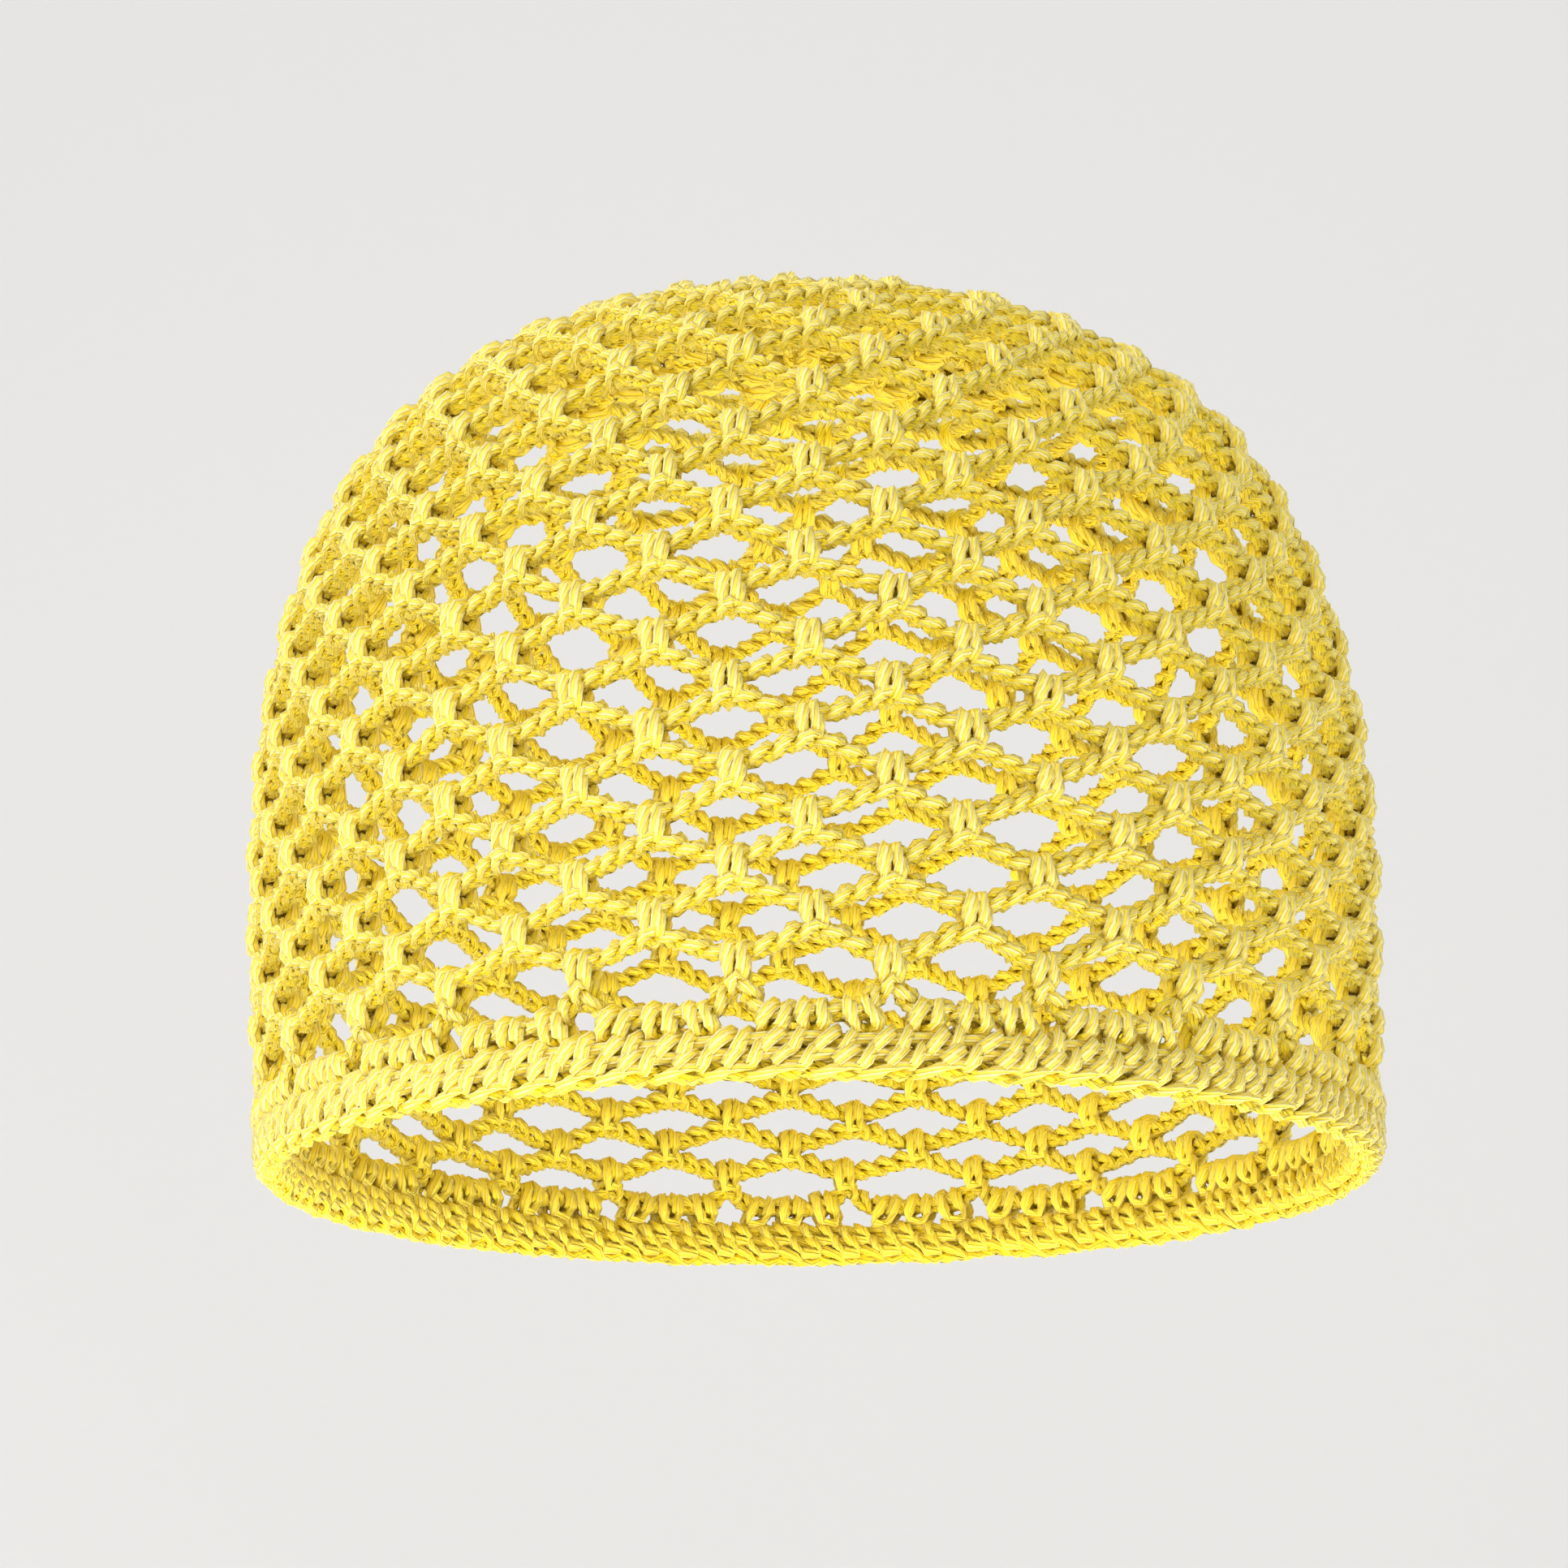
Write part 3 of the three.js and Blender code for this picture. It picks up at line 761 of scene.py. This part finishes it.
# The band
# Three rounds of single crochet, three stitches to a loop. The first round is worked over the
# last loops of the net, where its stitches crowd together in the hollow of the loop. The V of
# each stitch is drawn out long by the stretch of the band.
STITCHES_A_LOOP = 3
BAND_STITCHES = STITCHES_A_LOOP * FULL_LOOPS
STEPS_A_STITCH = 6
BAND_STEPS = STEPS_A_STITCH * BAND_STITCHES
BAND_ROWS = [
    {"along": 5.5, "tuck": 1.4, "width": 1.5, "crowded": 6.7, "slant": 0.0},
    {"along": 3.6, "tuck": 0.4, "width": 1.75, "crowded": None, "slant": 0.8},
    {"along": 1.6, "tuck": 0.4, "width": 1.75, "crowded": None, "slant": 0.8},
]
BAND_SHIFT = 0.3
BAND_FAN = 0.35
BAND_LEG_FAT = 1.25
BAND_CHAIN_WIDTH = 0.8
BAND_UP_VARIES = 0.12
BAND_ASIDE_VARIES = 0.3
BAND_WAVES = 40

band_yarn = Yarn()
band_pitch = GIRTH / BAND_STITCHES
band_line = np.arange(BAND_STEPS) / BAND_STEPS
loop_rounds, loop_along, _ = round_line(0)
above = {"rounds": loop_rounds % 1, "along": loop_along}
for number, row in enumerate(BAND_ROWS):
    places = (np.arange(BAND_STITCHES) + number * BAND_SHIFT) / BAND_STITCHES
    places = places + chance.normal(0, BAND_ASIDE_VARIES, BAND_STITCHES) / GIRTH
    line_along = row["along"] + smooth_noise(BAND_STEPS, BAND_WAVES, BAND_UP_VARIES)
    tops, slant = places, row["slant"]
    if row["crowded"]:
        side = (np.arange(BAND_STITCHES) + 1) % STITCHES_A_LOOP - 1
        tops = places - side * (1 - row["crowded"] / band_pitch) / BAND_STITCHES
        slant = slant - side * BAND_FAN
    top = np.interp(tops % 1, above["rounds"], above["along"], period=1)
    bottom = np.interp(tops % 1, band_line, line_along, period=1) + row["tuck"]
    if row is not BAND_ROWS[-1]:
        add_chain(band_yarn, band_line, line_along, places, band_pitch, BAND_CHAIN_WIDTH)
    add_joins(
        band_yarn, tops, bottom, top - bottom, width=row["width"], slant=slant, fat=BAND_LEG_FAT
    )
    above = {"rounds": band_line, "along": line_along}
band_yarn.make("band_rounds", "band", lemon_cotton)

# The rim
# The last round's row of V stitches, in the same cotton. It shows as a cord along the edge and
# hangs from the legs of the band's last row.
RIM_CHAIN_WIDTH = 1.3
RIM_FAT = 1.1

rim_yarn = Yarn()
add_chain(rim_yarn, band_line, line_along, places, band_pitch, RIM_CHAIN_WIDTH, fat=RIM_FAT)
rim_yarn.make("rim_chain", "rim_edge", lemon_cotton)

# The floor and backdrop
# A plain pale paper sheet that lies well below the cap and curves up far behind it, matt and
# nearly as light as the room.
FLOOR_DROP = 900
SWEEP_RADIUS = 600
BACKDROP_DISTANCE = 2500
BACKDROP_HEIGHT = 3500
FLOOR_TO_FRONT = 3000
SHEET_HALF_WIDTH = 3500
SWEEP_STEPS = 24
PAPER = "#EFEEEC"

sheet = bpy.data.materials.new("matt_paper")
sheet.use_nodes = True
paper_tree = sheet.node_tree
paper_tree.nodes.clear()
paper = node(
    paper_tree, "ShaderNodeBsdfPrincipled", {"Base Color": linear(PAPER), "Roughness": 0.95}
)
node(paper_tree, "ShaderNodeOutputMaterial", {"Surface": paper.outputs[0]})
turn = np.linspace(0, math.pi / 2, SWEEP_STEPS)
sweep_y = BACKDROP_DISTANCE - SWEEP_RADIUS + SWEEP_RADIUS * np.sin(turn)
profile_y = np.concatenate([[-FLOOR_TO_FRONT], sweep_y, [BACKDROP_DISTANCE]])
sweep_z = SWEEP_RADIUS * (1 - np.cos(turn))
profile_z = np.concatenate([[0], sweep_z, [BACKDROP_HEIGHT]]) - FLOOR_DROP
columns = np.array([-SHEET_HALF_WIDTH, SHEET_HALF_WIDTH], dtype=float)
sheet_points = np.stack(
    [np.tile(columns, len(profile_y)), np.repeat(profile_y, 2), np.repeat(profile_z, 2)], -1
)
start = np.arange(len(profile_y) - 1) * 2
sheet_faces = np.stack([start, start + 1, start + 3, start + 2], -1)
backdrop_mesh = bpy.data.meshes.new("backdrop")
backdrop_mesh.from_pydata((sheet_points * MM).tolist(), [], sheet_faces.tolist())
backdrop_mesh.polygons.foreach_set("use_smooth", np.ones(len(sheet_faces), dtype=bool))
backdrop_mesh.materials.append(sheet)
backdrop = bpy.data.objects.new("backdrop", backdrop_mesh)
bpy.context.collection.objects.link(backdrop)

# Light
# A large soft light from the upper left, others from in front and from behind, the light that a
# pale table throws up into the cap, and an even pale room. Places and sizes are in metres here.
ROOM_LIGHT = 0.76
CAP_MIDDLE = (0, 0, 0.06)
world = bpy.data.worlds.new("studio")
bpy.context.scene.world = world
world.use_nodes = True
world.node_tree.nodes["Background"].inputs["Color"].default_value = (1, 1, 1, 1)
world.node_tree.nodes["Background"].inputs["Strength"].default_value = ROOM_LIGHT
bpy.context.scene.view_settings.view_transform = "Standard"


def aim(direction):
    """The turn that points an object's -Z along a direction, with its +Y upwards."""
    return Vector(direction).to_track_quat("-Z", "Y").to_euler()


def add_light(name, place, size, power):
    """A square area light of a size and a power in watts, turned to the middle of the cap."""
    lamp = bpy.data.lights.new(name, "AREA")
    lamp.size = size
    lamp.energy = power
    holder = bpy.data.objects.new(name, lamp)
    bpy.context.collection.objects.link(holder)
    holder.location = place
    holder.rotation_euler = aim(np.array(CAP_MIDDLE) - np.array(place))
    holder.visible_camera = False


add_light("key", (-1.35, -0.45, 0.7), size=1.2, power=16)
add_light("front", (-0.3, -1.7, 0.3), size=1.2, power=10)
add_light("rear", (1.0, 1.1, 0.6), size=1.2, power=12)
add_light("table", (0.0, -0.12, -0.32), size=0.4, power=1.8)

# The camera
# In front of the brow and a little below the rim, as in the photograph. Lengths are in metres;
# the lens and the middle of the view are reckoned in a frame of FRAME_PIXELS across.
CAMERA_DISTANCE = 0.7683
CAMERA_BELOW = math.radians(8.36)
AIM_HEIGHT = 0.0624
FOCAL_PIXELS = 6211
FRAME_PIXELS = 1932
AXIS_PIXEL = 1004
LEAN_LEFT = math.radians(0.5)

lens = bpy.data.cameras.new("camera")
lens.sensor_width = 36
lens.lens = FOCAL_PIXELS / FRAME_PIXELS * lens.sensor_width
camera = bpy.data.objects.new("camera", lens)
bpy.context.collection.objects.link(camera)
eye = np.array([0, -math.cos(CAMERA_BELOW), -math.sin(CAMERA_BELOW)]) * CAMERA_DISTANCE
sight = np.array([0, 0, AIM_HEIGHT]) - eye
pan = (AXIS_PIXEL - FRAME_PIXELS / 2) * np.linalg.norm(sight) / FOCAL_PIXELS
camera.location = eye - [pan, 0, 0]
camera.rotation_euler = aim(sight)
camera.rotation_euler.rotate_axis("Z", -LEAN_LEFT)
bpy.context.scene.camera = camera
